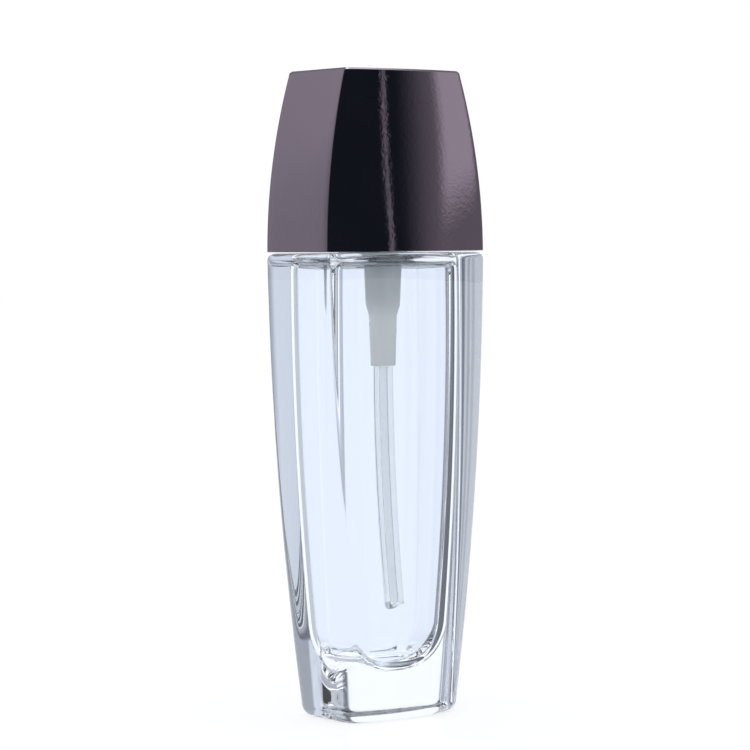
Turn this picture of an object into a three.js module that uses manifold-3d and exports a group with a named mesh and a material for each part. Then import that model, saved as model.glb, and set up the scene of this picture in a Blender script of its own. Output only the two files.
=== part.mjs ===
// An aftershave bottle: a heavy clear glass body with a treatment pump under a metallised pull-off cap.
// Millimetres, +Z up. The origin is the centre of the base, +X runs along the width and -Y is the front.
import * as THREE from "three";
import { mergeVertices } from "three/addons/utils/BufferGeometryUtils.js";
import Module from "manifold-3d";

const wasm = await Module();
wasm.setup();

// ---------------------------------------------------------------- driving dimensions

const TOTAL_HEIGHT = 140;
const SHOULDER_Z = 100.7; // flat top of the glass shoulder, and the level where the outline is widest
const CAP_GAP = 0.3; // between the shoulder and the cap's rim
const RUNNING_GAP = 0.1; // between round pieces that slide or turn in each other
const PRESS_GAP = 0.05; // between round pieces that are pushed together and stay

// The cross-section is a rectangle with bowed front and back faces.
// Each triple is base, widest level, cap top.
const HALF_WIDTH = [15.4, 21.35, 15.55];
const HALF_DEPTH = [9.1, 11.15, 10.2]; // at the corners, where the bow starts
const BOW = [2.55, 2.8, 1.45]; // how far the middle of the front and back faces stands proud
const CORNER = [4.6, 0.9, 0.9]; // radius of the upright corners

const glass = {
  heelRadius: 2.2,
  shoulderRadius: 1.5,
  sideWall: [4.2, 5.8, 5.8],
  faceWall: 3.6, // in the middle of the front and back
  cornerWall: 4.25, // how far the ends of the cavity's bowed sides lie behind the outside's
  cavityCorner: 6,
  roofZ: 98.8,
  floorZ: 10.2,
  floorShare: [0.25, 0.42], // the flat of the floor as a share of the cavity's width and depth
  floorRise: 10, // height over which the floor rounds into the walls
  pushUp: 0.7,
  seatRing: 1.8, // width of the flat ring that the bottle stands on
};

const neck = {
  topZ: 111.2,
  rootRadius: 7.9,
  threadRadius: 8.75,
  boreRadius: 5.2,
};

const thread = {
  pitch: 3.175, // eight turns to the inch
  turns: 1.5,
  ridge: 1.2, // axial width at the root
  crest: 0.6, // axial width at the crest
  stepsPerTurn: 24,
  neckStartZ: 104.4,
};

const cap = { wall: 1.3, topThickness: 1.4, rimBevel: 0.45 };
const liner = { gripRadius: 10.3, sleeveWall: 0.8, sleeveTopZ: 113, flange: 1.2, rise: 0.5 };
const collar = { bottomZ: 101.3, topZ: 114.4, radius: 9.9, innerRadius: 9.15, plate: 1.1, hole: 5.2 };
const sheath = { wall: 0.25, drop: 0.2 };
const flange = { bottomZ: 112.2, topZ: 113.2, radius: 8.2 };
const gasket = { bottomZ: 111.3, topZ: 112.1, inner: 5.35, outer: 8 };

const cylinderBore = 3.1; // pump cylinder
const tail = { bottomZ: 76.2, bore: 2.45, stopZ: 83 };
const spring = { bottomZ: 88.2, topZ: 96.5, meanRadius: 2.35, wire: 0.3, turns: 4.5 };
const ball = { radius: 1.5, seatZ: 84.2, seatHole: 1.0, lipRadius: 1.3, lipZ: 87.2 };
const stem = { radius: 2.2, bore: 1.3, bottomZ: 102.4, topZ: 127.4, stopRadius: 2.7, stopZ: 104.3 };
const core = { headRadius: 2.75, bottomZ: 96.7, topZ: 98, pinRadius: 1.2, pinTopZ: 107 };
const piston = { bottomZ: 98.1, topZ: 101.5, radius: 3.0, waist: 2.5 };
const turret = { bottomZ: 104.4, topZ: 115.8, guideRadius: 2.3, plugRadius: 3.0, chimney: 4.8 };
const tube = { radius: 2.4, bore: 0.9, bottomZ: 23.3, reach: 3.1, notch: 1.3 };
const button = { bottomZ: 121.2, topZ: 134, radius: 7.7, wall: 0.6, spoutZ: 130.2, spoutReach: 8.8 };

const COLOURS = {
  glass: { color: 0xe4ecf4, roughness: 0.03, metalness: 0, transparent: true, opacity: 0.35 },
  plated: { color: 0x6a5f6a, roughness: 0.16, metalness: 1 },
  white: { color: 0xe6e7e4, roughness: 0.45, metalness: 0 },
  natural: { color: 0xc9cecd, roughness: 0.4, metalness: 0 },
  tubing: { color: 0xdde4e8, roughness: 0.25, metalness: 0, transparent: true, opacity: 0.6 },
  steel: { color: 0xb9bcc0, roughness: 0.25, metalness: 1 },
  foam: { color: 0xf2f2ee, roughness: 0.8, metalness: 0 },
};

// ---------------------------------------------------------------- solids

// A closed geometry as a manifold-3d solid, with its faces turned outwards.
function solid(geometry) {
  const bare = geometry.clone();
  bare.deleteAttribute("normal");
  bare.deleteAttribute("uv");
  const merged = mergeVertices(bare, 1e-4);
  const corners = merged.index.array;
  const kept = [];
  for (let i = 0; i < corners.length; i += 3) {
    const [a, b, c] = [corners[i], corners[i + 1], corners[i + 2]];
    if (a !== b && b !== c && a !== c) kept.push(a, b, c);
  }
  const build = (triVerts) =>
    new wasm.Manifold(
      new wasm.Mesh({
        numProp: 3,
        vertProperties: new Float32Array(merged.attributes.position.array),
        triVerts: new Uint32Array(triVerts),
      }),
    );
  const made = build(kept);
  return made.volume() >= 0 ? made : build(kept.reverse());
}

// A manifold-3d solid as a named mesh.
function mesh(name, shape, look) {
  const data = shape.getMesh();
  const points = new Float32Array(data.numVert * 3);
  for (let i = 0; i < data.numVert; i++) {
    points.set(data.vertProperties.subarray(i * data.numProp, i * data.numProp + 3), i * 3);
  }
  const geometry = new THREE.BufferGeometry();
  geometry.setAttribute("position", new THREE.BufferAttribute(points, 3));
  geometry.setIndex(new THREE.BufferAttribute(new Uint32Array(data.triVerts), 1));
  geometry.computeVertexNormals();
  const made = new THREE.Mesh(geometry, new THREE.MeshStandardMaterial(COLOURS[look]));
  made.name = name;
  return made;
}

// A profile of [radius, z] points, turned about Z. It closes on itself unless it starts and ends on the axis.
function turned(profile, segments = 32) {
  const points = profile.map(([r, z]) => new THREE.Vector2(r, z));
  const onAxis = profile[0][0] === 0 && profile[profile.length - 1][0] === 0;
  if (!onAxis) points.push(points[0].clone());
  return solid(new THREE.LatheGeometry(points, segments).rotateX(Math.PI / 2));
}

// A plain tube about Z.
function ring(inner, outer, bottom, top, segments = 32) {
  const profile = [
    [inner, bottom],
    [outer, bottom],
    [outer, top],
    [inner, top],
  ];
  return turned(profile, segments);
}

// A plain rod about Z.
function rod(radius, bottom, top, segments = 32) {
  const profile = [
    [0, bottom],
    [radius, bottom],
    [radius, top],
    [0, top],
  ];
  return turned(profile, segments);
}

// A solid skinned over rings of equally many points, with a flat fan over each end.
function lofted(rings) {
  const count = rings[0].length;
  const points = rings.flat().flatMap((p) => [p.x, p.y, p.z]);
  const faces = [];
  for (let level = 0; level + 1 < rings.length; level++) {
    for (let i = 0; i < count; i++) {
      const a = level * count + i;
      const b = level * count + ((i + 1) % count);
      faces.push(a, b, b + count, a, b + count, a + count);
    }
  }
  const ends = [
    [rings[0], 0, true],
    [rings[rings.length - 1], (rings.length - 1) * count, false],
  ];
  for (const [end, first, downwards] of ends) {
    const centre = new THREE.Vector3();
    end.forEach((p) => centre.addScaledVector(p, 1 / count));
    const hub = points.length / 3;
    points.push(centre.x, centre.y, centre.z);
    for (let i = 0; i < count; i++) {
      const a = first + i;
      const b = first + ((i + 1) % count);
      faces.push(...(downwards ? [hub, b, a] : [hub, a, b]));
    }
  }
  const geometry = new THREE.BufferGeometry();
  geometry.setAttribute("position", new THREE.Float32BufferAttribute(points, 3));
  geometry.setIndex(faces);
  return solid(geometry);
}

// ---------------------------------------------------------------- the bottle's outline

// A dimension that eases from its base value to its widest and on to its cap-top value, along two parabolas.
function eased([atBase, atWidest, atTop], z) {
  const end = z < SHOULDER_Z ? 0 : TOTAL_HEIGHT;
  const edge = z < SHOULDER_Z ? atBase : atTop;
  const share = (z - SHOULDER_Z) / (end - SHOULDER_Z);
  return atWidest + (edge - atWidest) * share * share;
}

// The same, but straight between the three values.
function straight([atBase, atWidest, atTop], z) {
  if (z < SHOULDER_Z) return atBase + ((atWidest - atBase) * z) / SHOULDER_Z;
  return atWidest + ((atTop - atWidest) * (z - SHOULDER_Z)) / (TOTAL_HEIGHT - SHOULDER_Z);
}

const FILLET_STEPS = 4;
const BOW_STEPS = 5;

// One level of a bowed rectangle: half width a, half depth b at the corners, bow s and corner radius r.
function bowedRing(a, b, s, r, z) {
  const bowRadius = (a * a + s * s) / (2 * s);
  const bowCentre = b + s - bowRadius;
  const lean = Math.asin((a - r) / (bowRadius - r));
  const cornerY = bowCentre + (bowRadius - r) * Math.cos(lean);
  const quarter = [[a, 0]];
  for (let i = 0; i <= FILLET_STEPS; i++) {
    const angle = ((Math.PI / 2 - lean) * i) / FILLET_STEPS;
    quarter.push([a - r + r * Math.cos(angle), cornerY + r * Math.sin(angle)]);
  }
  for (let i = 1; i <= BOW_STEPS; i++) {
    const angle = lean * (1 - i / BOW_STEPS);
    quarter.push([bowRadius * Math.sin(angle), bowCentre + bowRadius * Math.cos(angle)]);
  }
  const back = [...quarter].reverse();
  const outline = [
    ...quarter,
    ...back.slice(1).map(([x, y]) => [-x, y]),
    ...quarter.slice(1).map(([x, y]) => [-x, -y]),
    ...back.slice(1, -1).map(([x, y]) => [x, -y]),
  ];
  return outline.map(([x, y]) => new THREE.Vector3(x, y, z));
}

// The bottle's and cap's outer section at z, drawn in by inset.
function outerRing(z, inset) {
  const a = eased(HALF_WIDTH, z) - inset;
  const b = eased(HALF_DEPTH, z) - inset;
  return bowedRing(a, b, straight(BOW, z), Math.max(straight(CORNER, z) - inset, 0.4), z);
}

// ---------------------------------------------------------------- glass body

function glassOutside() {
  const levels = [];
  const arcSteps = 4;
  for (let i = 0; i <= arcSteps; i++) {
    const angle = (Math.PI / 2) * (i / arcSteps);
    const z = glass.heelRadius * (1 - Math.cos(angle));
    levels.push([z, glass.heelRadius * (1 - Math.sin(angle))]);
  }
  for (const z of [14, 28, 42, 56, 70, 84]) levels.push([z, 0]);
  for (let i = 0; i <= arcSteps; i++) {
    const angle = (Math.PI / 2) * (i / arcSteps);
    const z = SHOULDER_Z - glass.shoulderRadius * (1 - Math.sin(angle));
    levels.push([z, glass.shoulderRadius * (1 - Math.cos(angle))]);
  }
  return lofted(levels.map(([z, inset]) => outerRing(z, inset)));
}

// The cavity's section at z, drawn together by a share of its width and of its depth. It is rounder than
// the outside's, so the glass is thickest in its corners.
function cavityRing(z, shareX = 1, shareY = 1) {
  const bow = straight(BOW, z) + glass.cornerWall - glass.faceWall;
  const a = eased(HALF_WIDTH, z) - straight(glass.sideWall, z);
  const b = eased(HALF_DEPTH, z) - glass.cornerWall;
  const whole = bowedRing(a, b, bow, glass.cavityCorner, z);
  return whole.map((p) => new THREE.Vector3(p.x * shareX, p.y * shareY, z));
}

function glassCavity() {
  const [flatX, flatY] = glass.floorShare;
  const rings = [];
  const floorSteps = 6;
  for (let i = 0; i <= floorSteps; i++) {
    const angle = (Math.PI / 2) * (i / floorSteps);
    const z = glass.floorZ + glass.floorRise * (1 - Math.cos(angle));
    const spread = Math.sin(angle);
    rings.push(cavityRing(z, flatX + (1 - flatX) * spread, flatY + (1 - flatY) * spread));
  }
  for (const z of [34, 47, 60, 73, 86]) rings.push(cavityRing(z));
  rings.push(cavityRing(glass.roofZ - 1));
  rings.push(cavityRing(glass.roofZ - 0.3, 0.985, 0.97));
  rings.push(cavityRing(glass.roofZ, 0.95, 0.9));
  return lofted(rings);
}

// A screw ridge: a trapezium swept up a right-handed helix, fading out at both ends.
function screwRidge(rootRadius, crestRadius, startZ, turns) {
  const steps = Math.round(turns * thread.stepsPerTurn);
  const rings = [];
  for (let i = 0; i <= steps; i++) {
    const angle = (2 * Math.PI * i) / thread.stepsPerTurn;
    const z = startZ + (thread.pitch * i) / thread.stepsPerTurn;
    const fade = Math.min(1, 0.15 + i / 4, 0.15 + (steps - i) / 4);
    const crest = rootRadius + (crestRadius - rootRadius) * fade;
    const section = [
      [rootRadius, z - thread.ridge / 2],
      [crest, z - thread.crest / 2],
      [crest, z + thread.crest / 2],
      [rootRadius, z + thread.ridge / 2],
    ];
    rings.push(section.map(([r, h]) => new THREE.Vector3(r * Math.cos(angle), r * Math.sin(angle), h)));
  }
  return lofted(rings);
}

function glassBottle() {
  const buried = 0.4; // how far a ridge's root is sunk in the wall that it joins
  const neckTube = turned([
    [0, SHOULDER_Z - 1],
    [neck.rootRadius, SHOULDER_Z - 1],
    [neck.rootRadius, neck.topZ - 0.5],
    [neck.rootRadius - 0.5, neck.topZ],
    [0, neck.topZ],
  ]);
  const ridge = screwRidge(neck.rootRadius - buried, neck.threadRadius, thread.neckStartZ, thread.turns);
  const bore = rod(neck.boreRadius, glass.roofZ - 2, neck.topZ + 1);
  const dishInset = glass.heelRadius + glass.seatRing;
  const dish = lofted([
    outerRing(-0.5, dishInset),
    outerRing(0.01, dishInset),
    outerRing(glass.pushUp * 0.7, dishInset + 1.2),
    outerRing(glass.pushUp, dishInset + 3.5),
  ]);
  return glassOutside().add(neckTube).add(ridge).subtract(glassCavity()).subtract(bore).subtract(dish);
}

// ---------------------------------------------------------------- cap

function overcapShell() {
  const rimZ = SHOULDER_Z + CAP_GAP;
  const levels = [rimZ, 106, 112, 118, 124, 129, 133, 136.5, TOTAL_HEIGHT - cap.rimBevel];
  const outside = levels.map((z) => outerRing(z, 0));
  outside.push(outerRing(TOTAL_HEIGHT, cap.rimBevel));
  const hollowTop = TOTAL_HEIGHT - cap.topThickness;
  const inside = [rimZ - 1, 106, 112, 118, 124, 129, 133, hollowTop].map((z) =>
    outerRing(z, cap.wall),
  );
  return lofted(outside).subtract(lofted(inside));
}

// The plastic insert inside the cap: a flange that fills the rim and a sleeve that grips the collar.
function overcapLiner() {
  const bottom = SHOULDER_Z + CAP_GAP + liner.rise;
  const top = bottom + liner.flange;
  const inset = cap.wall + RUNNING_GAP;
  const plate = lofted([bottom, top].map((z) => outerRing(z, inset)));
  const sleeve = rod(liner.gripRadius + liner.sleeveWall, bottom, liner.sleeveTopZ, 48);
  const ribLength = 8;
  const ribs = [-1, 1].map((side) => {
    const web = new THREE.BoxGeometry(ribLength, 1, 5);
    const middle = liner.gripRadius + liner.sleeveWall / 2 + ribLength / 2;
    web.translate(side * middle, 0, top + 2.3);
    return solid(web);
  });
  const hole = rod(liner.gripRadius, bottom - 1, liner.sleeveTopZ + 1, 48);
  return plate.add(sleeve).add(ribs[0]).add(ribs[1]).subtract(hole);
}

// ---------------------------------------------------------------- closure

function screwCollar() {
  const plateZ = collar.topZ - collar.plate;
  const cup = turned([
    [collar.innerRadius, collar.bottomZ],
    [collar.radius, collar.bottomZ],
    [collar.radius, collar.topZ],
    [collar.hole, collar.topZ],
    [collar.hole, plateZ],
    [collar.innerRadius, plateZ],
  ]);
  // The inner ridge lies half a pitch below the neck's, so the two sit in each other's grooves.
  const buried = 0.3;
  const crest = neck.rootRadius + 0.3;
  const start = thread.neckStartZ - thread.pitch / 2 + 0.1;
  const ridge = screwRidge(collar.innerRadius + buried, crest, start, thread.turns);
  return cup.add(ridge);
}

function collarSheath() {
  const inner = collar.radius + PRESS_GAP;
  const top = collar.topZ + PRESS_GAP;
  return turned([
    [inner, collar.bottomZ - sheath.drop],
    [inner + sheath.wall, collar.bottomZ - sheath.drop],
    [inner + sheath.wall, top + sheath.wall - 0.2],
    [inner + sheath.wall - 0.2, top + sheath.wall],
    [collar.hole + 0.2, top + sheath.wall],
    [collar.hole + 0.2, top],
    [inner, top],
  ]);
}

// ---------------------------------------------------------------- pump

function pumpHousing() {
  const outside = [
    [tail.bore, tail.bottomZ],
    [3.05, tail.bottomZ],
    [3.45, 87.3],
    [4.15, 89.2],
    [4.3, 91],
    [4.55, 97],
    [4.75, 99],
    [4.75, flange.bottomZ],
    [flange.radius, flange.bottomZ],
    [flange.radius, flange.topZ],
  ];
  const inside = [
    [cylinderBore, flange.topZ],
    [cylinderBore, spring.bottomZ - RUNNING_GAP],
    [ball.lipRadius, spring.bottomZ - RUNNING_GAP],
    [ball.lipRadius, ball.lipZ],
    [ball.radius + 0.4, ball.lipZ - 0.4],
    [ball.radius + 0.4, ball.seatZ + 0.3],
    [ball.seatHole, ball.seatZ],
    [ball.seatHole, tail.stopZ],
    [tail.bore, tail.stopZ],
  ];
  return turned([...outside, ...inside]);
}

// The snap-in cap of the pump cylinder: it guides the stem and stops it at the top.
function pumpTurret() {
  const seat = flange.topZ + PRESS_GAP;
  return turned([
    [turret.guideRadius, turret.bottomZ],
    [turret.plugRadius, turret.bottomZ],
    [turret.plugRadius, seat],
    [turret.chimney, seat],
    [turret.chimney, turret.topZ - 0.4],
    [turret.chimney - 0.4, turret.topZ],
    [turret.guideRadius, turret.topZ],
  ]);
}

function pumpStem() {
  return turned([
    [stem.bore, stem.bottomZ],
    [stem.radius, stem.bottomZ],
    [stem.stopRadius, stem.bottomZ + 0.6],
    [stem.stopRadius, stem.stopZ],
    [stem.radius, stem.stopZ],
    [stem.radius, stem.topZ],
    [stem.bore, stem.topZ],
  ]);
}

// The valve pin: a mushroom head under the piston and a fluted pin pushed up the stem's bore.
function pistonCore() {
  const head = turned([
    [0, core.bottomZ],
    [core.headRadius - 0.5, core.bottomZ],
    [core.headRadius, core.bottomZ + 0.5],
    [core.headRadius, core.topZ - 0.3],
    [core.pinRadius, core.topZ],
    [0, core.topZ],
  ]);
  const height = core.pinTopZ - core.topZ + 0.5;
  const arm = 0.75;
  const flutes = [0, Math.PI / 2].map((turn) => {
    const web = new THREE.BoxGeometry(2 * core.pinRadius, arm, height);
    web.rotateZ(turn).translate(0, 0, core.pinTopZ - height / 2);
    return solid(web);
  });
  return head.add(flutes[0]).add(flutes[1]);
}

function pumpPiston() {
  const bore = core.pinRadius + 0.15;
  return turned([
    [bore, piston.bottomZ],
    [piston.radius - 0.35, piston.bottomZ],
    [piston.radius, piston.bottomZ + 0.2],
    [piston.waist, piston.bottomZ + 1.2],
    [piston.waist, piston.topZ - 1.2],
    [piston.radius, piston.topZ - 0.2],
    [piston.radius - 0.35, piston.topZ],
    [bore, piston.topZ],
  ]);
}

class Helix extends THREE.Curve {
  getPoint(share, target = new THREE.Vector3()) {
    const angle = 2 * Math.PI * spring.turns * share;
    const low = spring.bottomZ + spring.wire;
    const high = spring.topZ - spring.wire;
    const r = spring.meanRadius;
    return target.set(r * Math.cos(angle), r * Math.sin(angle), low + (high - low) * share);
  }
}

function disc(radius) {
  const shape = new THREE.Shape();
  shape.absarc(0, 0, radius, 0, 2 * Math.PI, false);
  return shape;
}

function returnSpring() {
  const options = { steps: 66, curveSegments: 3, bevelEnabled: false, extrudePath: new Helix() };
  return solid(new THREE.ExtrudeGeometry(disc(spring.wire), options));
}

// The dip tube hangs from the housing's tail and bends gently towards +X, as cut from a reel.
function dipTube() {
  const top = tail.stopZ - RUNNING_GAP;
  const stops = [new THREE.Vector3(0, 0, top), new THREE.Vector3(0, 0, tail.bottomZ)];
  const bends = 6;
  for (let i = 1; i <= bends; i++) {
    const share = i / bends;
    const z = tail.bottomZ + (tube.bottomZ - tail.bottomZ) * share;
    stops.push(new THREE.Vector3(tube.reach * share * share, 0, z));
  }
  const route = new THREE.CatmullRomCurve3(stops);
  const section = disc(tube.radius);
  section.holes.push(new THREE.Path().absarc(0, 0, tube.bore, 0, 2 * Math.PI, true));
  const options = { steps: 22, curveSegments: 8, bevelEnabled: false, extrudePath: route };
  const whole = solid(new THREE.ExtrudeGeometry(section, options));
  // The fishtail at the lower end keeps it from sealing against the floor.
  const notch = new THREE.Shape();
  notch.moveTo(-tube.radius * 1.1, -1);
  notch.lineTo(tube.radius * 1.1, -1);
  notch.lineTo(0, tube.notch);
  const wedge = new THREE.ExtrudeGeometry(notch, { depth: 8, bevelEnabled: false, steps: 1 });
  wedge.translate(0, 0, -4).rotateX(Math.PI / 2).rotateZ(0.35).translate(tube.reach, 0, tube.bottomZ);
  return whole.subtract(solid(wedge));
}

function inletBall() {
  const centreZ = ball.seatZ + Math.sqrt(ball.radius ** 2 - ball.seatHole ** 2) + RUNNING_GAP;
  return solid(new THREE.SphereGeometry(ball.radius, 16, 8)).translate([0, 0, centreZ]);
}

// ---------------------------------------------------------------- press button

// A rod of the given radius along -Y, from the axis out to reach, at the spout's height.
function spoutRod(radius, from, reach, segments = 16) {
  const length = reach - from;
  const made = new THREE.CylinderGeometry(radius, radius, length, segments);
  return solid(made.translate(0, -(from + length / 2), button.spoutZ));
}

function buttonCore() {
  const radius = button.radius - button.wall - PRESS_GAP;
  const top = button.topZ - button.wall - PRESS_GAP - 0.5;
  const body = turned([
    [0, button.bottomZ + 0.4],
    [radius, button.bottomZ + 0.4],
    [radius, top],
    [0, top],
  ]);
  const socket = rod(stem.radius + PRESS_GAP, button.bottomZ - 1, stem.topZ + PRESS_GAP);
  const riser = rod(1, stem.topZ - 1, button.spoutZ + 0.5, 16);
  const spout = spoutRod(1.9, 4, button.spoutReach - 0.4);
  const duct = spoutRod(0.8, 0, button.spoutReach + 1);
  const seat = spoutRod(1.25, button.spoutReach - 2.2, button.spoutReach + 1);
  return body.add(spout).subtract(socket).subtract(riser).subtract(duct).subtract(seat);
}

function buttonShell() {
  const inner = button.radius - button.wall;
  const ceiling = button.topZ - button.wall - 0.5;
  const cup = turned([
    [0, ceiling],
    [inner, ceiling],
    [inner, button.bottomZ],
    [button.radius, button.bottomZ],
    [button.radius, button.topZ - 0.6],
    [button.radius - 0.6, button.topZ],
    [button.radius - 2, button.topZ - 0.1],
    [0, button.topZ - 0.5],
  ]);
  return cup.subtract(spoutRod(2.05, 3, button.spoutReach + 2));
}

function nozzleInsert() {
  const outer = spoutRod(1.15, button.spoutReach - 2.1, button.spoutReach);
  return outer.subtract(spoutRod(0.45, 0, button.spoutReach + 1, 12));
}

// ---------------------------------------------------------------- assembly

const bottle = new THREE.Group();
bottle.add(
  mesh("glass_bottle", glassBottle(), "glass"),
  mesh("overcap_shell", overcapShell(), "plated"),
  mesh("overcap_liner", overcapLiner(), "white"),
  mesh("screw_collar", screwCollar(), "white"),
  mesh("collar_sheath", collarSheath(), "plated"),
  mesh("neck_gasket", ring(gasket.inner, gasket.outer, gasket.bottomZ, gasket.topZ), "foam"),
  mesh("pump_housing", pumpHousing(), "natural"),
  mesh("pump_turret", pumpTurret(), "white"),
  mesh("pump_stem", pumpStem(), "white"),
  mesh("valve_pin", pistonCore(), "natural"),
  mesh("piston", pumpPiston(), "natural"),
  mesh("return_spring", returnSpring(), "steel"),
  mesh("inlet_ball", inletBall(), "steel"),
  mesh("dip_tube", dipTube(), "tubing"),
  mesh("button_core", buttonCore(), "white"),
  mesh("button_shell", buttonShell(), "plated"),
  mesh("nozzle_insert", nozzleInsert(), "natural"),
);

export default bottle;
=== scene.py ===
"""The looks of a heavy glass bottle with a treatment pump and a metallised pull-off cap.

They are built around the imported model. Lengths are in millimetres while a shape is worked out, and become
metres when its mesh is made. +Z is up, +X runs along the bottle's width, and -Y is its front.
"""

import math

import bpy
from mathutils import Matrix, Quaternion, Vector, noise


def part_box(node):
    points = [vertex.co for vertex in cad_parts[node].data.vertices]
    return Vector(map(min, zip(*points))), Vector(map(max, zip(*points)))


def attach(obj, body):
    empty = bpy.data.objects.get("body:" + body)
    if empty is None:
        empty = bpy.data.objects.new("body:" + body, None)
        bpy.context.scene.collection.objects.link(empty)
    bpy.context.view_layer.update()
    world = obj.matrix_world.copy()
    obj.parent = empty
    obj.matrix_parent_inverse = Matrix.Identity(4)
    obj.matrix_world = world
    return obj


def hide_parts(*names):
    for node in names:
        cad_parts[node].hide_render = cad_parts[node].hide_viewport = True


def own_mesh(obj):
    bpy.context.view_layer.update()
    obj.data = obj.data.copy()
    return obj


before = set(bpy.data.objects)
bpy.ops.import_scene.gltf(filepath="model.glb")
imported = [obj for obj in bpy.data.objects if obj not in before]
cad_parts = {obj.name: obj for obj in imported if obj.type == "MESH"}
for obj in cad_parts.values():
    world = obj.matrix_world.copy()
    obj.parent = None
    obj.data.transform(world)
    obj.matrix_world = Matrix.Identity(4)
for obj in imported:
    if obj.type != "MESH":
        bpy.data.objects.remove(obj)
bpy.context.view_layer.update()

MM = 0.001
TURN = 2 * math.pi


def box_mm(node):
    """The lowest and highest corner of a node of the frame, in millimetres."""
    low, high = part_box(node)
    return low / MM, high / MM


# ---------------------------------------------------------------- sizes taken from the frame

GLASS_HIGH = box_mm("glass_bottle")[1]
SHELL_LOW, SHELL_HIGH = box_mm("overcap_shell")
LINER_LOW, LINER_HIGH = box_mm("overcap_liner")
COLLAR_LOW, COLLAR_HIGH = box_mm("screw_collar")
SHEATH_LOW, SHEATH_HIGH = box_mm("collar_sheath")
GASKET_LOW, GASKET_HIGH = box_mm("neck_gasket")
HOUSING_LOW, HOUSING_HIGH = box_mm("pump_housing")
TURRET_LOW, TURRET_HIGH = box_mm("pump_turret")
STEM_LOW, STEM_HIGH = box_mm("pump_stem")
PIN_LOW, PIN_HIGH = box_mm("valve_pin")
PISTON_LOW, PISTON_HIGH = box_mm("piston")
SPRING_LOW, SPRING_HIGH = box_mm("return_spring")
BALL_LOW, BALL_HIGH = box_mm("inlet_ball")
TUBE_LOW, TUBE_HIGH = box_mm("dip_tube")
CORE_LOW, CORE_HIGH = box_mm("button_core")
BUTTON_LOW, BUTTON_HIGH = box_mm("button_shell")
NOZZLE_LOW, NOZZLE_HIGH = box_mm("nozzle_insert")

HEIGHT = SHELL_HIGH.z
RIM_Z = SHELL_LOW.z
SHOULDER_Z = RIM_Z - 0.3
NECK_TOP_Z = GLASS_HIGH.z
WIDEST_Z = SHOULDER_Z  # level where the outline is widest
ROOF_Z = 98.8  # roof of the cavity

# The section is a rectangle with bowed front and back. Each triple is base, widest level, cap top.
HALF_WIDTH = (15.4, 21.35, 15.55)
HALF_DEPTH = (9.1, 11.15, 10.2)
BOW = (2.55, 2.8, 1.45)

CORNER = (4.6, 0.9, 0.9)
HEEL = 2.2
SHOULDER = 1.5
SIDE_WALL = (4.2, 5.8, 5.8)
FACE_WALL = 3.6  # in the middle of the front and back
CORNER_WALL = 4.25  # how far the ends of the cavity's bowed sides lie behind the outside's
CAVITY_CORNER = 6.0
FLOOR_Z = 10.2
FLOOR_SHARE = (0.25, 0.42)
FLOOR_RISE = 10
PUSH_UP = 0.7
SEAT_RING = 1.8

NECK_ROOT = 7.9
NECK_THREAD = 8.75
NECK_BORE = 5.2
PITCH = 3.175
THREAD_TURNS = 1.5
THREAD_Z = 104.4

CAP_WALL = 1.3
CAP_ROOF = 1.4
CAP_CORNER = 0.9
CAP_EDGE = 0.45

# ---------------------------------------------------------------- meshes


def piece(name, points, faces, material, body, node, sharp=35):
    """A mesh of the object, from points in millimetres, that stands for a node and rides on a body."""
    mesh = bpy.data.meshes.new(name)
    mesh.from_pydata([Vector(p) * MM for p in points], [], faces)
    mesh.validate()
    mesh.shade_smooth()
    mesh.set_sharp_from_angle(angle=math.radians(sharp))
    mesh.materials.append(material)
    made = bpy.data.objects.new(name, mesh)
    bpy.context.scene.collection.objects.link(made)
    if node:
        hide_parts(node)
    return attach(made, body)


def skinned(rings, closed=False):
    """Points and faces of a skin over rings of equally many points.

    Fans of triangles cover its ends, unless it closes on itself.
    """
    count = len(rings[0])
    points = [p for ring in rings for p in ring]
    levels = len(rings)
    faces = []
    for level in range(levels if closed else levels - 1):
        low, high = level * count, (level + 1) % levels * count
        for i in range(count):
            j = (i + 1) % count
            faces.append((low + i, low + j, high + j, high + i))
    if not closed:
        for ring, first, down in ((rings[0], 0, True), (rings[-1], (levels - 1) * count, False)):
            hub = len(points)
            points.append(tuple(sum(axis) / count for axis in zip(*ring)))
            for i in range(count):
                a, b = first + i, first + (i + 1) % count
                faces.append((hub, b, a) if down else (hub, a, b))
    return points, faces


def circle(radius, z, count=128):
    turns = [TURN * i / count for i in range(count)]
    return [(radius * math.cos(turn), radius * math.sin(turn), z) for turn in turns]


def rounded(profile, radius, closed):
    """A profile of (radius, z) points with each corner eased by a small three-point curve."""
    eased_profile = []
    last = len(profile) - 1
    for i, corner in enumerate(profile):
        if not closed and i in (0, last):
            eased_profile.append(corner)
            continue
        here = Vector(corner)
        before = Vector(profile[i - 1])
        after = Vector(profile[(i + 1) % len(profile)])
        cut = min(radius, 0.4 * (before - here).length, 0.4 * (after - here).length)
        start = here + (before - here).normalized() * cut
        end = here + (after - here).normalized() * cut
        middle = here * 0.5 + (start + end) * 0.25
        eased_profile += [tuple(start), tuple(middle), tuple(end)]
    return eased_profile


def turned(profile, easing=0.12, count=128):
    """Points and faces of a profile turned about Z.

    The profile closes on itself unless it starts and ends on the axis.
    """
    closed = profile[0][0] > 0
    outline = rounded(profile, easing, closed)
    if not closed:
        outline = outline[1:-1]
        tip_low = (0, 0, profile[0][1])
        tip_high = (0, 0, profile[-1][1])
    points, faces = skinned([circle(r, z, count) for r, z in outline], closed)
    if not closed:
        points[-2] = tip_low
        points[-1] = tip_high
    return points, faces


def signed_volume(points, faces):
    total = 0
    for face in faces:
        for i in range(1, len(face) - 1):
            a, b, c = (Vector(points[k]) for k in (face[0], face[i], face[i + 1]))
            total += a.dot(b.cross(c)) / 6
    return total


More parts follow.
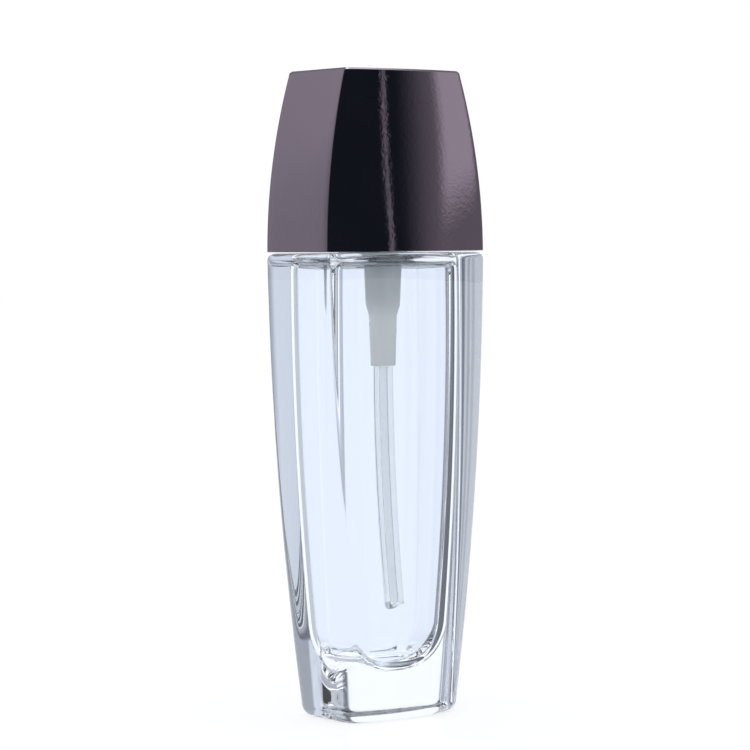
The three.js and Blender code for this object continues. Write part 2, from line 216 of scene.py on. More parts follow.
def outward(points, faces):
    """The same skin, turned inside out if its faces look inwards."""
    if signed_volume(points, faces) < 0:
        faces = [face[::-1] for face in faces]
    return points, faces


def carve(target, cutter):
    """Cuts one mesh object by another, and removes the cutter."""
    step = target.modifiers.new("carve", "BOOLEAN")
    step.operation = "DIFFERENCE"
    step.solver = "EXACT"
    step.object = cutter
    bpy.context.view_layer.update()
    graph = bpy.context.evaluated_depsgraph_get()
    cut = bpy.data.meshes.new_from_object(target.evaluated_get(graph))
    cut.name = target.name
    target.modifiers.clear()
    target.data = cut
    cut.shade_smooth()
    cut.set_sharp_from_angle(angle=math.radians(35))
    bpy.data.objects.remove(cutter)


def cutter_along_y(radius, near, far, z, count=96):
    """A round cutter that runs along Y from near to far at height z."""
    rings = [[(x, y, z + h) for x, h, _ in circle(radius, 0, count)] for y in (near, far)]
    points, faces = skinned(rings)
    mesh = bpy.data.meshes.new("cutter")
    mesh.from_pydata([Vector(p) * MM for p in points], [], faces)
    made = bpy.data.objects.new("cutter", mesh)
    bpy.context.scene.collection.objects.link(made)
    return made


# ---------------------------------------------------------------- the bowed outline


def eased(values, z):
    """A value at a height, from its triple: it falls away from the widest level along two parabolas."""
    base, widest, top = values
    end, edge = (0, base) if z < WIDEST_Z else (HEIGHT, top)
    share = (z - WIDEST_Z) / (end - WIDEST_Z)
    return widest + (edge - widest) * share * share


def straight(values, z):
    """A value at a height, from its triple, along two straight lines."""
    base, widest, top = values
    if z < WIDEST_Z:
        return base + (widest - base) * z / WIDEST_Z
    return widest + (top - widest) * (z - WIDEST_Z) / (HEIGHT - WIDEST_Z)


SIDE_STEPS = 6
FILLET_STEPS = 10
BOW_STEPS = 20
RING_COUNT = 4 * (SIDE_STEPS + FILLET_STEPS + BOW_STEPS)


def bowed_ring(a, b, bow, r, z):
    """One level of a bowed rectangle, with half width a, half depth b at its corners, and corner radius r."""
    bow_radius = (a * a + bow * bow) / (2 * bow)
    bow_centre = b + bow - bow_radius
    lean = math.asin((a - r) / (bow_radius - r))
    corner_y = bow_centre + (bow_radius - r) * math.cos(lean)
    quarter = [(a, corner_y * i / SIDE_STEPS) for i in range(SIDE_STEPS)]
    for i in range(FILLET_STEPS + 1):
        angle = (math.pi / 2 - lean) * i / FILLET_STEPS
        quarter.append((a - r + r * math.cos(angle), corner_y + r * math.sin(angle)))
    for i in range(1, BOW_STEPS + 1):
        angle = lean * (1 - i / BOW_STEPS)
        quarter.append((bow_radius * math.sin(angle), bow_centre + bow_radius * math.cos(angle)))
    back = quarter[::-1]
    outline = quarter + [(-x, y) for x, y in back[1:]]
    outline += [(-x, -y) for x, y in quarter[1:]] + [(x, -y) for x, y in back[1:-1]]
    return [(x, y, z) for x, y in outline]


def outer_ring(z, inset, corner=None):
    """The outline of the bottle or cap at a height, drawn in by an inset."""
    a = eased(HALF_WIDTH, z) - inset
    b = eased(HALF_DEPTH, z) - inset
    radius = straight(CORNER, z) if corner is None else corner
    return bowed_ring(a, b, straight(BOW, z), max(radius - inset, 0.4), z)


def cavity_ring(z, share_x=1, share_y=1):
    """The cavity's section at a height. It is rounder than the outside, so the corners are thickest."""
    bow = straight(BOW, z) + CORNER_WALL - FACE_WALL
    a = eased(HALF_WIDTH, z) - straight(SIDE_WALL, z)
    b = eased(HALF_DEPTH, z) - CORNER_WALL
    return [(x * share_x, y * share_y, z) for x, y, _ in bowed_ring(a, b, bow, CAVITY_CORNER, z)]


def wavy(ring, depth, width):
    """A ring with the slight waves that moulded glass keeps, longer up the bottle than across it."""
    moved = []
    for x, y, z in ring:
        reach = math.hypot(x, y)
        swell = noise.noise(Vector((x / width, y / width, z / (6 * width)))) * depth / max(reach, 1)
        moved.append((x * (1 + swell), y * (1 + swell), z))
    return moved


# ---------------------------------------------------------------- materials


class Nodes:
    """A short way to build a node tree."""

    def __init__(self, tree):
        self.tree = tree
        tree.nodes.clear()

    def add(self, kind, inputs=None, **settings):
        node = self.tree.nodes.new(kind)
        for key, value in settings.items():
            setattr(node, key, value)
        for key, value in (inputs or {}).items():
            self.feed(node.inputs[key], value)
        return node

    def feed(self, socket, value):
        if isinstance(value, bpy.types.NodeSocket):
            self.tree.links.new(value, socket)
        else:
            socket.default_value = value

    def math(self, operation, *values):
        node = self.add("ShaderNodeMath", operation=operation)
        for socket, value in zip(node.inputs, values):
            self.feed(socket, value)
        return node.outputs[0]

    def ramp(self, value, low, high, to_low=0.0, to_high=1.0):
        inputs = {"Value": value, "From Min": low, "From Max": high, "To Min": to_low, "To Max": to_high}
        return self.add("ShaderNodeMapRange", inputs, interpolation_type="SMOOTHSTEP").outputs[0]

    def noise(self, scale, detail=3, stretch=(1, 1, 1), roughness=0.5):
        coords = self.add("ShaderNodeTexCoord").outputs["Object"]
        mapped = self.add("ShaderNodeMapping", {"Vector": coords, "Scale": stretch}).outputs[0]
        inputs = {"Vector": mapped, "Scale": scale, "Detail": detail, "Roughness": roughness}
        return self.add("ShaderNodeTexNoise", inputs).outputs[0]

    def tint(self, value, first, second):
        """A mix of two colours, each a triple or a socket. The node's colour sockets go by number."""
        factor, colour_a, colour_b, colour_out = 0, 6, 7, 2
        ends = [end if isinstance(end, bpy.types.NodeSocket) else (*end, 1) for end in (first, second)]
        inputs = {factor: value, colour_a: ends[0], colour_b: ends[1]}
        return self.add("ShaderNodeMix", inputs, data_type="RGBA").outputs[colour_out]

    def bump(self, height, strength, distance):
        inputs = {"Height": height, "Strength": strength, "Distance": distance * MM}
        return self.add("ShaderNodeBump", inputs).outputs[0]


def material(name):
    made = bpy.data.materials.new(name)
    made.use_nodes = True
    return made, Nodes(made.node_tree)


def finish_material(nodes, **inputs):
    """A Principled shader with these inputs, whose names have _ for a space."""
    named = {key.replace("_", " "): value for key, value in inputs.items()}
    shader = nodes.add("ShaderNodeBsdfPrincipled", named)
    output = nodes.add("ShaderNodeOutputMaterial")
    nodes.tree.links.new(shader.outputs[0], output.inputs["Surface"])


def clear_glass():
    made, nodes = material("clear_glass")
    drawn = nodes.noise(90, detail=2, stretch=(1, 1, 0.12))
    finish_material(
        nodes,
        Base_Color=(0.885, 0.925, 0.985, 1),
        Roughness=0.0,
        IOR=1.5,
        Transmission_Weight=1.0,
        Normal=nodes.bump(drawn, 0.05, 0.03),
    )
    return made


def plated_metal(name, peel):
    """Vacuum-metallised plastic: a dark violet-grey mirror with a fine orange peel."""
    made, nodes = material(name)
    cloud = nodes.noise(60, detail=4)
    grain = nodes.noise(1100, detail=3, roughness=0.6)
    finish_material(
        nodes,
        Base_Color=nodes.tint(cloud, (0.185, 0.155, 0.185), (0.215, 0.182, 0.212)),
        Metallic=1.0,
        Roughness=nodes.ramp(cloud, 0.3, 0.7, 0.02, 0.05),
        Normal=nodes.bump(grain, peel, 0.03),
    )
    return made


def moulded_plastic(name, dark, light, roughness, clear=0.0, soft=0.0, texture=0.1, ior=1.49, shade=None):
    """Polypropylene or polyethylene: faintly cloudy, finely textured, and lit from inside where soft.

    A shade is a low and a high level, and the colour above them. That colour is a painted shade, darker where
    less light comes through the wall.
    """
    made, nodes = material(name)
    cloud = nodes.noise(220, detail=4)
    grain = nodes.noise(2600, detail=2)
    colour = nodes.tint(cloud, dark, light)
    # Painted shade: above the shade's levels the colour is blended to a darker one, standing in for the shade
    # there.
    if shade:
        low, high, painted_shade_colour = shade
        coords = nodes.add("ShaderNodeTexCoord").outputs["Object"]
        height = nodes.add("ShaderNodeSeparateXYZ", {"Vector": coords}).outputs["Z"]
        share = nodes.ramp(height, low * MM, high * MM)
        colour = nodes.tint(share, colour, painted_shade_colour)
    finish_material(
        nodes,
        Base_Color=colour,
        Roughness=nodes.ramp(cloud, 0.3, 0.7, roughness * 0.85, roughness * 1.15),
        IOR=ior,
        Transmission_Weight=clear,
        Subsurface_Weight=soft,
        Subsurface_Radius=(1.0, 1.0, 1.0),
        Subsurface_Scale=1.2 * MM,
        Normal=nodes.bump(grain, texture, 0.02),
    )
    return made


def drawn_steel():
    made, nodes = material("drawn_steel")
    streak = nodes.noise(1800, detail=3, stretch=(1, 1, 0.2))
    finish_material(
        nodes,
        Base_Color=nodes.tint(streak, (0.52, 0.53, 0.55), (0.68, 0.69, 0.7)),
        Metallic=1.0,
        Roughness=nodes.ramp(streak, 0.3, 0.7, 0.18, 0.34),
    )
    return made


GLASS = clear_glass()
CAP_METAL = plated_metal("plated_cap", 0.4)
TRIM_METAL = plated_metal("plated_trim", 0.12)
WHITE = moulded_plastic("white_plastic", (0.8, 0.81, 0.8), (0.87, 0.875, 0.87), 0.36, soft=0.3)
MILKY_TINTS = ((0.86, 0.87, 0.86), (0.92, 0.925, 0.915))
NATURAL = moulded_plastic("natural_plastic", *MILKY_TINTS, 0.32, clear=0.4, soft=0.4)
# Painted shade: the cylinder is coloured darker above the foot of the spring, standing in for the cap's
# shadow.
CYLINDER_PAINTED_SHADE = (SPRING_LOW.z - 3, SPRING_LOW.z + 4, (0.68, 0.7, 0.71))
CYLINDER = moulded_plastic("cylinder_plastic", *MILKY_TINTS, 0.32, clear=0.4, soft=0.4, shade=CYLINDER_PAINTED_SHADE)
TUBE_TINTS = ((0.9, 0.92, 0.92), (0.95, 0.96, 0.95))
TUBING = moulded_plastic("tubing", *TUBE_TINTS, 0.05, clear=0.86, texture=0.01, ior=1.2)
FOAM = moulded_plastic("foam", (0.8, 0.8, 0.77), (0.9, 0.9, 0.88), 0.85, soft=0.2)
STEEL = drawn_steel()

# ---------------------------------------------------------------- glass body


# How deep the glass's waves are and how wide, outside and in the cavity.
OUTER_WAVES = (0.01, 9)
CAVITY_WAVES = (0.03, 7)
ROOF_EASE = 1.6


def arc_levels(steps):
    return [math.pi / 2 * i / steps for i in range(steps + 1)]


def thread_radius(angle, z):
    """How far the neck stands out at an angle and height: its root, or the ridge that climbs round it."""
    reach = 0
    for turn in range(-1, 3):
        along = turn + angle / TURN
        if -0.05 <= along <= THREAD_TURNS + 0.05:
            fade = min(1, max(0, 6 * (along + 0.05)), max(0, 6 * (THREAD_TURNS + 0.05 - along)))
            away = abs(z - THREAD_Z - PITCH * along)
            slope = min(1, max(0, (0.72 - away) / 0.42))
            reach = max(reach, fade * slope * slope * (3 - 2 * slope))
    return NECK_ROOT + (NECK_THREAD - NECK_ROOT) * reach


def neck_ring(z):
    ring = []
    for i in range(RING_COUNT):
        angle = TURN * i / RING_COUNT
        radius = thread_radius(angle, z)
        ring.append((radius * math.cos(angle), radius * math.sin(angle), z))
    return ring


def glass_body():
    rings = []
    dish = HEEL + SEAT_RING
    dish_levels = ((6, PUSH_UP), (3.5, PUSH_UP), (1.2, 0.5), (0.2, 0.05), (0, 0.0))
    for inset, z in dish_levels:
        rings.append([(x, y, z) for x, y, _ in outer_ring(0, dish + inset)])
    for angle in arc_levels(10):
        rings.append(outer_ring(HEEL * (1 - math.cos(angle)), HEEL * (1 - math.sin(angle))))
    wall_levels = 48
    low, high = HEEL, SHOULDER_Z - SHOULDER
    for i in range(1, wall_levels):
        rings.append(wavy(outer_ring(low + (high - low) * i / wall_levels, 0), *OUTER_WAVES))
    for angle in arc_levels(10):
        z = SHOULDER_Z - SHOULDER * (1 - math.sin(angle))
        rings.append(outer_ring(z, SHOULDER * (1 - math.cos(angle))))
    rings.append(circle(NECK_ROOT + 0.5, SHOULDER_Z, RING_COUNT))
    rings.append(circle(NECK_ROOT + 0.15, SHOULDER_Z + 0.15, RING_COUNT))
    rings.append(circle(NECK_ROOT, SHOULDER_Z + 0.5, RING_COUNT))
    thread_levels = 60
    thread_low, thread_high = THREAD_Z - 1.2, NECK_TOP_Z - 0.9
    for i in range(thread_levels + 1):
        rings.append(neck_ring(thread_low + (thread_high - thread_low) * i / thread_levels))
    lip = 0.5
    for angle in arc_levels(4):
        radius = NECK_ROOT - lip * (1 - math.cos(angle))
        rings.append(circle(radius, NECK_TOP_Z - lip * (1 - math.sin(angle)), RING_COUNT))
    for angle in arc_levels(3):
        radius = NECK_BORE + 0.3 * (1 - math.sin(angle))
        rings.append(circle(radius, NECK_TOP_Z - 0.3 * (1 - math.cos(angle)), RING_COUNT))
    rings.append(circle(NECK_BORE, ROOF_Z + 0.4, RING_COUNT))
    rings.append(circle(NECK_BORE + 0.1, ROOF_Z + 0.1, RING_COUNT))
    rings.append(circle(NECK_BORE + 0.4, ROOF_Z, RING_COUNT))
    for angle in arc_levels(6):
        z = ROOF_Z - ROOF_EASE * (1 - math.cos(angle))
        rings.append(cavity_ring(z, 0.92 + 0.08 * math.sin(angle), 0.86 + 0.14 * math.sin(angle)))
    cavity_levels = 44
    high, low = ROOF_Z - ROOF_EASE, FLOOR_Z + FLOOR_RISE
    for i in range(1, cavity_levels):
        rings.append(wavy(cavity_ring(high + (low - high) * i / cavity_levels), *CAVITY_WAVES))
    for angle in reversed(arc_levels(16)):
        z = FLOOR_Z + FLOOR_RISE * (1 - math.cos(angle))
        share_x = FLOOR_SHARE[0] + (1 - FLOOR_SHARE[0]) * math.sin(angle)
        share_y = FLOOR_SHARE[1] + (1 - FLOOR_SHARE[1]) * math.sin(angle)
        rings.append(wavy(cavity_ring(z, share_x, share_y), *CAVITY_WAVES))
    return piece("bottle_glass", *skinned(rings), GLASS, "bottle", "glass_bottle", sharp=40)


# ---------------------------------------------------------------- cap


def cap_shell():
    rings = []
    corner = CAP_CORNER + CAP_WALL
    roof = HEIGHT - CAP_ROOF
    rings.append(outer_ring(roof, CAP_WALL + 1.2, corner))
    levels = 26
    high, low = roof - 0.6, RIM_Z + 0.1
    for i in range(levels + 1):
        rings.append(outer_ring(high + (low - high) * i / levels, CAP_WALL, corner))
    rings.append(outer_ring(RIM_Z, CAP_WALL - 0.15, corner - 0.15))
    rings.append(outer_ring(RIM_Z, 0.12, CAP_CORNER))
    top = HEIGHT - CAP_EDGE
    for i in range(levels + 1):
        rings.append(outer_ring(RIM_Z + 0.12 + (top - RIM_Z - 0.12) * i / levels, 0, CAP_CORNER))
    rings.append(outer_ring(top + 0.05, 0.02, CAP_CORNER))
    rings.append(outer_ring(HEIGHT - 0.05, CAP_EDGE - 0.02, CAP_CORNER))
    rings.append(outer_ring(HEIGHT, CAP_EDGE + 1, CAP_CORNER))
    return piece("cap_shell", *skinned(rings), CAP_METAL, "overcap", "overcap_shell", sharp=20)


def cap_liner():
    low, flange = LINER_LOW.z, LINER_LOW.z + 1.2
    inset = CAP_WALL + 0.1
    corner = CAP_CORNER + CAP_WALL
    grip, sleeve = 10.3, 11.1
    rings = [
        circle(grip + 0.15, low, RING_COUNT),
        outer_ring(low, inset + 0.1, corner),
        outer_ring(low + 0.1, inset, corner),
        outer_ring(flange - 0.1, inset, corner),
        outer_ring(flange, inset + 0.1, corner),
        circle(sleeve + 0.3, flange, RING_COUNT),
        circle(sleeve, flange + 0.3, RING_COUNT),
        circle(sleeve, LINER_HIGH.z - 0.15, RING_COUNT),
        circle(sleeve - 0.15, LINER_HIGH.z, RING_COUNT),
        circle(grip + 0.2, LINER_HIGH.z, RING_COUNT),
        circle(grip, LINER_HIGH.z - 0.2, RING_COUNT),
        circle(grip, low + 0.15, RING_COUNT),
    ]
    return piece("cap_liner", *skinned(rings, closed=True), WHITE, "overcap", "overcap_liner")


# ---------------------------------------------------------------- closure and pump


def screw_collar():
    radius, inner, plate, hole = COLLAR_HIGH.x, 9.15, 1.1, 5.2
    under = COLLAR_HIGH.z - plate
    profile = [
        (inner, COLLAR_LOW.z),
        (radius, COLLAR_LOW.z),
        (radius, COLLAR_HIGH.z),
        (hole, COLLAR_HIGH.z),
        (hole, under),
        (inner, under),
    ]
    return piece("collar_ring", *turned(profile), WHITE, "collar", "screw_collar")


def collar_cover():
    outer, wall, hole = SHEATH_HIGH.x, 0.25, 5.4
    top = SHEATH_HIGH.z
    profile = [
        (outer - wall, SHEATH_LOW.z),
        (outer, SHEATH_LOW.z),
        (outer, top - 0.35),
        (outer - 0.1, top - 0.1),
        (outer - 0.35, top),
        (hole, top),
        (hole, top - wall),
        (outer - wall, top - wall),
    ]
    return piece("collar_cover", *turned(profile, 0.08, 192), TRIM_METAL, "collar", "collar_sheath")


def neck_gasket():
    inner = 5.35
    profile = [
        (inner, GASKET_LOW.z),
        (GASKET_HIGH.x, GASKET_LOW.z),
        (GASKET_HIGH.x, GASKET_HIGH.z),
        (inner, GASKET_HIGH.z),
    ]
    return piece("gasket_ring", *turned(profile), FOAM, "pump", "neck_gasket")


def pump_housing():
    bottom, top = HOUSING_LOW.z, HOUSING_HIGH.z
    bore, tail_bore, chamber, seat = 3.1, 2.45, 1.9, 1.0
    cylinder_floor = SPRING_LOW.z - 0.14
    seat_z, stop_z, lip_z = 84.2, 83.0, 87.2
    profile = [
        (tail_bore, bottom),
        (3.05, bottom),
        (3.45, 87.3),
        (4.15, 89.2),
        (4.3, 91),
        (4.55, 97),
        (4.75, 99),
        (4.75, top - 1),
        (HOUSING_HIGH.x, top - 1),
        (HOUSING_HIGH.x, top),
        (bore, top),
        (bore, cylinder_floor),
        (1.3, cylinder_floor),
        (1.3, lip_z),
        (chamber, lip_z - 0.4),
        (chamber, seat_z + 0.3),
        (seat, seat_z),
        (seat, stop_z),
        (tail_bore, stop_z),
    ]
    return piece("housing", *turned(profile, 0.25), CYLINDER, "pump", "pump_housing")


def pump_turret():
    guide, plug, chimney, seat = 2.3, 3.0, 4.8, HOUSING_HIGH.z + 0.05
    profile = [
        (guide, TURRET_LOW.z),
        (plug, TURRET_LOW.z),
        (plug, seat),
        (chimney, seat),
        (chimney, TURRET_HIGH.z - 0.4),
        (chimney - 0.4, TURRET_HIGH.z),
        (guide, TURRET_HIGH.z),
    ]
    return piece("turret_bush", *turned(profile), WHITE, "pump", "pump_turret")


def pump_stem():
    bore, radius, stop = 1.3, 2.2, 2.7
    profile = [
        (bore, STEM_LOW.z),
        (radius, STEM_LOW.z),
        (stop, STEM_LOW.z + 0.6),
        (stop, STEM_LOW.z + 1.9),
        (radius, STEM_LOW.z + 1.9),
        (radius, STEM_HIGH.z),
        (bore, STEM_HIGH.z),
    ]
    return piece("stem_tube", *turned(profile), WHITE, "plunger", "pump_stem")


def valve_pin():
    head, pin, arm, top = PIN_HIGH.x, 1.2, 0.375, PIN_LOW.z + 1.3
    steps = 96
    disc = [(0, PIN_LOW.z), (head - 0.5, PIN_LOW.z), (head, PIN_LOW.z + 0.5), (head, top - 0.3), (pin, top)]
    rings = [circle(r, z, steps) for r, z in rounded(disc, 0.12, False)[1:]]

    def cross(z):
        """A cross-shaped section inside the pin's circle."""
        ring = []
        for x, y, _ in circle(pin, z, steps):
            inside = min(abs(x), abs(y))
            pull = 1 if inside <= arm else arm / inside
            ring.append((x * pull, y * pull, z))
        return ring

    tip = [(x * 0.85, y * 0.85, PIN_HIGH.z) for x, y, _ in cross(0)]
    rings += [cross(top + 0.05), cross(PIN_HIGH.z - 0.2), tip]
    return piece("valve_core", *skinned(rings), NATURAL, "plunger", "valve_pin")


def piston_seal():
    bore, radius, waist = 1.35, PISTON_HIGH.x, 2.5
    low, high = PISTON_LOW.z, PISTON_HIGH.z
    profile = [
        (bore, low),
        (radius - 0.35, low),
        (radius, low + 0.2),
        (waist, low + 1.2),
        (waist, high - 1.2),
        (radius, high - 0.2),
        (radius - 0.35, high),
        (bore, high),
    ]
    return piece("piston_seal", *turned(profile), NATURAL, "piston", "piston")


def spring_coil():
    wire, turns = 0.3, 4.5
    radius = SPRING_HIGH.x - wire
    low, high = SPRING_LOW.z + wire, SPRING_HIGH.z - wire
    steps, around = 220, 16
    sweep = radius * TURN * turns
    rings = []
    for i in range(steps + 1):
        angle = TURN * turns * i / steps
        z = low + (high - low) * i / steps
        centre = Vector((radius * math.cos(angle), radius * math.sin(angle), z))
        out = Vector((math.cos(angle), math.sin(angle), 0))
        along = Vector((-sweep * math.sin(angle), sweep * math.cos(angle), high - low))
        up = along.normalized().cross(out)
        ring = []
        for k in range(around):
            turn = TURN * k / around
            ring.append(tuple(centre + out * (wire * math.cos(turn)) - up * (wire * math.sin(turn))))
        rings.append(ring)
    coil = piece("spring_coil", *skinned(rings), STEEL, "pump", "return_spring")
    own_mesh(coil)
    return coil


def valve_ball():
    centre, radius = (BALL_LOW + BALL_HIGH) / 2, BALL_HIGH.x
    steps = 32
    rings = []
    for i in range(1, steps):
        angle = math.pi * i / steps
        rings.append(circle(radius * math.sin(angle), centre.z - radius * math.cos(angle), 64))
    points, faces = skinned(rings)
    points[-2] = (0, 0, centre.z - radius)
    points[-1] = (0, 0, centre.z + radius)
    return piece("valve_ball", points, faces, STEEL, "ball", "inlet_ball")


TUBE_RADIUS = TUBE_HIGH.y
TUBE_BORE = 0.9
TUBE_REACH = TUBE_HIGH.x - TUBE_HIGH.y
NOTCH_TURN = 0.35  # how far the fishtail notch is turned about the tube


def tube_route(z):
    """Centre and direction of the dip tube at a height: straight in the housing, then bent towards +X."""
    free = HOUSING_LOW.z
    share = max(0, (free - z) / (free - TUBE_LOW.z))
    slope = -2 * TUBE_REACH * share / (free - TUBE_LOW.z)
    return Vector((TUBE_REACH * share * share, 0, z)), Vector((slope, 0, 1)).normalized()


def tube_ring(z, radius, count=64, notch=0.0):
    """A ring of the dip tube, square to it. At the notched end its middle is drawn up the tube."""
    centre, along = tube_route(z)
    side = Vector((0, 1, 0))
    out = side.cross(along)
    across = Vector((math.cos(NOTCH_TURN), math.sin(NOTCH_TURN)))
    ring = []
    for i in range(count):
        turn = TURN * i / count
        offset = Vector((math.cos(turn), math.sin(turn))) * radius
        lift = notch * (1 - abs(offset.dot(across)) / TUBE_RADIUS)
        ring.append(tuple(centre + out * offset.x + side * offset.y + along * lift))
    return ring


def dip_tube():
    top, bottom = TUBE_HIGH.z, TUBE_LOW.z + 0.25
    steps = 40
    levels = [top + (bottom + 2.2 - top) * i / steps for i in range(steps + 1)]
    notch = 1.3
    rings = [tube_ring(z, TUBE_RADIUS) for z in levels]
    rings += [tube_ring(bottom, TUBE_RADIUS, notch=notch), tube_ring(bottom, TUBE_BORE, notch=notch)]
    rings += [tube_ring(z, TUBE_BORE) for z in reversed(levels)]
    points, faces = skinned(rings, closed=True)
    faces = [face[::-1] for face in faces]
    return piece("dip_pipe", points, faces, TUBING, "pump", "dip_tube", sharp=50)


# ---------------------------------------------------------------- press button

SPOUT_Z = (NOZZLE_LOW.z + NOZZLE_HIGH.z) / 2


def head_cover():
    radius, wall, top = BUTTON_HIGH.x, 0.6, BUTTON_HIGH.z
    ceiling = top - wall - 0.5
    profile = [
        (0, ceiling),
        (radius - wall, ceiling),
        (radius - wall, BUTTON_LOW.z),
        (radius, BUTTON_LOW.z),
        (radius, top - 0.7),
        (radius - 0.2, top - 0.2),
        (radius - 0.7, top),
        (radius - 2, top - 0.08),
        (radius - 4, top - 0.3),
        (0, top - 0.5),
    ]
    cover = piece("head_cover", *outward(*turned(profile, 0.15, 160)), TRIM_METAL, "button", "button_shell")
    carve(cover, cutter_along_y(2.05, -3, -12, SPOUT_Z))
    return cover


def head_core():
    radius, bottom, top = BUTTON_HIGH.x - 0.65, CORE_LOW.z, CORE_HIGH.z
    socket, riser = 2.25, 1.0
    profile = [
        (0, SPOUT_Z - 0.4),
        (riser, SPOUT_Z - 0.4),
        (riser, STEM_HIGH.z),
        (socket, STEM_HIGH.z),
        (socket, bottom),
        (radius, bottom),
        (radius, top),
        (0, top),
    ]
    return piece("head_core", *turned(profile, 0.15), WHITE, "button", "button_core")


def head_spout():
    reach = -CORE_LOW.y
    outer, seat = 1.9, 1.25
    root, seat_floor, axis = 6.6, reach - 1.7, 0.01
    outline = [(seat, seat_floor), (seat, reach), (outer, reach), (outer, root), (0, root)]
    rings = []
    for radius, along in rounded(outline, 0.15, False):
        rings.append([(x, -along, SPOUT_Z + h) for x, h, _ in circle(max(radius, axis), 0, 96)])
    made = piece("head_spout", *outward(*skinned(rings)), WHITE, "button", None)
    return made


def spout_tip():
    near, far = -NOZZLE_HIGH.y, -NOZZLE_LOW.y
    outer, hole = NOZZLE_HIGH.x, 0.45
    outline = [(hole, near), (outer, near), (outer, far), (hole + 0.35, far), (hole, far - 0.3)]
    rings = []
    for radius, along in rounded(outline, 0.1, True):
        rings.append([(x, -along, SPOUT_Z + h) for x, h, _ in circle(radius, 0, 96)])
    return piece("spout_tip", *outward(*skinned(rings, closed=True)), NATURAL, "button", "nozzle_insert")


for build in (
    glass_body,
    cap_shell,
    cap_liner,
    screw_collar,
    collar_cover,
    neck_gasket,
    pump_housing,
    pump_turret,
    pump_stem,
    valve_pin,
    piston_seal,
    spring_coil,
    valve_ball,
    dip_tube,
    head_cover,
    head_core,
    head_spout,
    spout_tip,
):
    build()

# ---------------------------------------------------------------- floor, light and camera


def floor():
    """A pale disc, in metres. What is seen through the glass is the studio's panels, not this disc."""
    steps, radius = 96, 4.0
    mesh = bpy.data.meshes.new("floor")
    rim = circle(radius, 0, steps)
    mesh.from_pydata([(0, 0, 0), *rim], [], [(0, i + 1, (i + 1) % steps + 1) for i in range(steps)])
    made, nodes = material("floor_white")
    sheen = nodes.add("ShaderNodeBsdfGlossy", {"Color": (1, 1, 1, 1), "Roughness": 0.06})
    matte = nodes.add("ShaderNodeBsdfDiffuse", {"Color": (0.5, 0.5, 0.51, 1)})
    glow = nodes.add("ShaderNodeEmission", {"Color": (0.99, 0.995, 1.0, 1), "Strength": 0.62})
    lit = nodes.add("ShaderNodeAddShader")
    nodes.tree.links.new(matte.outputs[0], lit.inputs[0])
    nodes.tree.links.new(glow.outputs[0], lit.inputs[1])
    both = nodes.add("ShaderNodeMixShader", {"Fac": 0.06})
    nodes.tree.links.new(lit.outputs[0], both.inputs[1])
    nodes.tree.links.new(sheen.outputs[0], both.inputs[2])
    output = nodes.add("ShaderNodeOutputMaterial")
    nodes.tree.links.new(both.outputs[0], output.inputs["Surface"])
    mesh.materials.append(made)
    made_floor = bpy.data.objects.new("floor", mesh)
    bpy.context.scene.collection.objects.link(made_floor)
    made_floor.visible_transmission = False


# Panels of the studio round the bottle, seen from it. Azimuth 0 is straight out of the front and 90 is +X.
# Each is (azimuth, half width, edge softness, elevation, half height, edge softness, colour), in degrees.
# A negative colour takes light away, as a black card does.
# MIRRORED is what reflections see, and THROUGH what is seen through the glass.
MIRRORED = [
    (170, 78, 10, 10, 60, 15, (0.4, 0.39, 0.42)),
    (-150, 9, 4.5, 12, 60, 15, (0.34, 0.33, 0.36)),
    (-150, 30, 4, 40, 28, 10, (0.16, 0.15, 0.16)),
    (75, 33, 9, 5, 60, 10, (0.4, 0.38, 0.41)),
    (57, 7, 2.5, 33, 29, 1.5, (0.8, 0.75, 0.81)),
    (30, 0.4, 0.15, 5, 60, 10, (0.85, 0.83, 0.88)),
    (0, 400, 1, 85, 30, 10, (4.2, 4.25, 4.4)),
]
THROUGH = [
    (147, 40, 3, 0, 80, 10, (1.06, 1.06, 1.07)),
    (-146, 26, 3, 0, 80, 10, (0.55, 0.56, 0.58)),
    (-135.5, 1.3, 0.6, 0, 80, 10, (-0.42, -0.42, -0.42)),
    (-123, 7, 3, 0, 80, 10, (0.8, 0.81, 0.84)),
    (-90, 30, 6, 0, 80, 10, (0.4, 0.4, 0.43)),
    (28, 16, 4, 0, 80, 10, (0.66, 0.69, 0.75)),
    (-8, 20, 5, 0, 80, 10, (0.45, 0.47, 0.5)),
    (60, 16, 5, 0, 80, 10, (0.3, 0.31, 0.34)),
    (92, 15, 3, 0, 80, 10, (0.07, 0.07, 0.08)),
    (-138.7, 0.6, 0.4, 0, 80, 10, (-0.2, -0.2, -0.19)),
    (-140.6, 0.5, 0.4, 0, 80, 10, (-0.16, -0.16, -0.15)),
    (0, 400, 1, 85, 30, 10, (1.0, 1.0, 1.0)),
    (0, 400, 1, -90, 18, 8, (0.38, 0.39, 0.41)),
]
AMBIENT = (0.028, 0.038, 0.055)  # between the panels
BACKDROP = (1.0, 1.0, 1.0)  # what the camera sees beside the object
SOFT_ROOM = (0.9, 0.91, 0.93)  # what lights matt surfaces
INSIDE_GLASS = (1.5, 1.49, 1.44)  # what lights matt surfaces inside the bottle


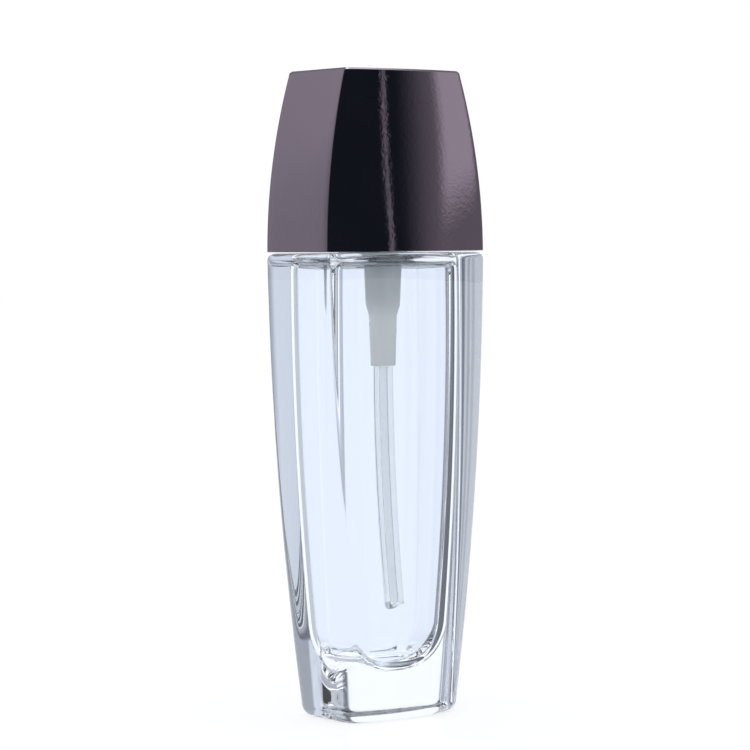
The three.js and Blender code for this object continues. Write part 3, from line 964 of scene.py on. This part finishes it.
def studio():
    """A world of soft panels: some for reflections, some for what is seen through the glass."""
    world = bpy.data.worlds.new("studio")
    bpy.context.scene.world = world
    world.use_nodes = True
    nodes = Nodes(world.node_tree)
    direction = nodes.add("ShaderNodeTexCoord").outputs["Generated"]
    split = nodes.add("ShaderNodeSeparateXYZ", {"Vector": direction})
    x, y, z = split.outputs
    azimuth = nodes.math("ARCTAN2", x, nodes.math("MULTIPLY", y, -1.0))
    elevation = nodes.math("ARCSINE", z)

    def band(value, centre, half, soft, wrap):
        away = nodes.math("SUBTRACT", value, math.radians(centre))
        if wrap:
            away = nodes.math("WRAP", away, math.pi, -math.pi)
        away = nodes.math("ABSOLUTE", away)
        return nodes.ramp(away, math.radians(half - soft), math.radians(half + soft), 1.0, 0.0)

    def lit(panels):
        total = AMBIENT
        for turn, half, soft, tilt, height, tilt_soft, colour in panels:
            across = band(azimuth, turn, half, soft, True)
            up = band(elevation, tilt, height, tilt_soft, False)
            amount = nodes.math("MULTIPLY", across, up)
            scaled = nodes.add("ShaderNodeVectorMath", {0: colour, "Scale": amount}, operation="SCALE")
            sum_so_far = nodes.add("ShaderNodeVectorMath", {0: total, 1: scaled.outputs[0]}, operation="ADD")
            total = sum_so_far.outputs[0]
        return total

    path = nodes.add("ShaderNodeLightPath").outputs
    seen = nodes.tint(path["Is Glossy Ray"], SOFT_ROOM, lit(MIRRORED))
    seen = nodes.tint(path["Is Transmission Ray"], seen, lit(THROUGH))
    seen = nodes.tint(path["Is Camera Ray"], seen, BACKDROP)
    scattered = nodes.math("GREATER_THAN", path["Diffuse Depth"], 0.5)
    seen = nodes.tint(scattered, seen, SOFT_ROOM)
    behind_glass = nodes.math("GREATER_THAN", path["Transmission Depth"], 0.5)
    seen = nodes.tint(nodes.math("MULTIPLY", scattered, behind_glass), seen, INSIDE_GLASS)
    background = nodes.add("ShaderNodeBackground", {"Color": seen, "Strength": 1.0})
    output = nodes.add("ShaderNodeOutputWorld")
    nodes.tree.links.new(background.outputs[0], output.inputs["Surface"])


def camera():
    """The camera stands left of the front, level with the cap's lower edge, and looks slightly down."""
    azimuth = math.radians(-38.05)
    away, height, tilt, roll = 614.4, 105.0, math.radians(2.88), math.radians(-0.444)
    aside = 0.41
    back = Vector((math.sin(azimuth), -math.cos(azimuth), 0))
    right = Vector((math.cos(azimuth), math.sin(azimuth), 0))
    eye = back * away + Vector((0, 0, height))
    aim = right * -aside + Vector((0, 0, height - away * math.tan(tilt)))
    data = bpy.data.cameras.new("camera")
    sensor, lens = 36, 135.55
    data.sensor_width = sensor
    data.lens = lens
    made = bpy.data.objects.new("camera", data)
    made.location = eye * MM
    made.rotation_mode = "QUATERNION"
    facing = (aim - eye).to_track_quat("-Z", "Y")
    made.rotation_quaternion = facing @ Quaternion((0, 0, 1), roll)
    bpy.context.scene.collection.objects.link(made)
    bpy.context.scene.camera = made


floor()
studio()
camera()
scene = bpy.context.scene
scene.view_settings.view_transform = "Standard"
scene.cycles.max_bounces = 32
scene.cycles.transmission_bounces = 24
scene.cycles.glossy_bounces = 12
scene.cycles.transparent_max_bounces = 16
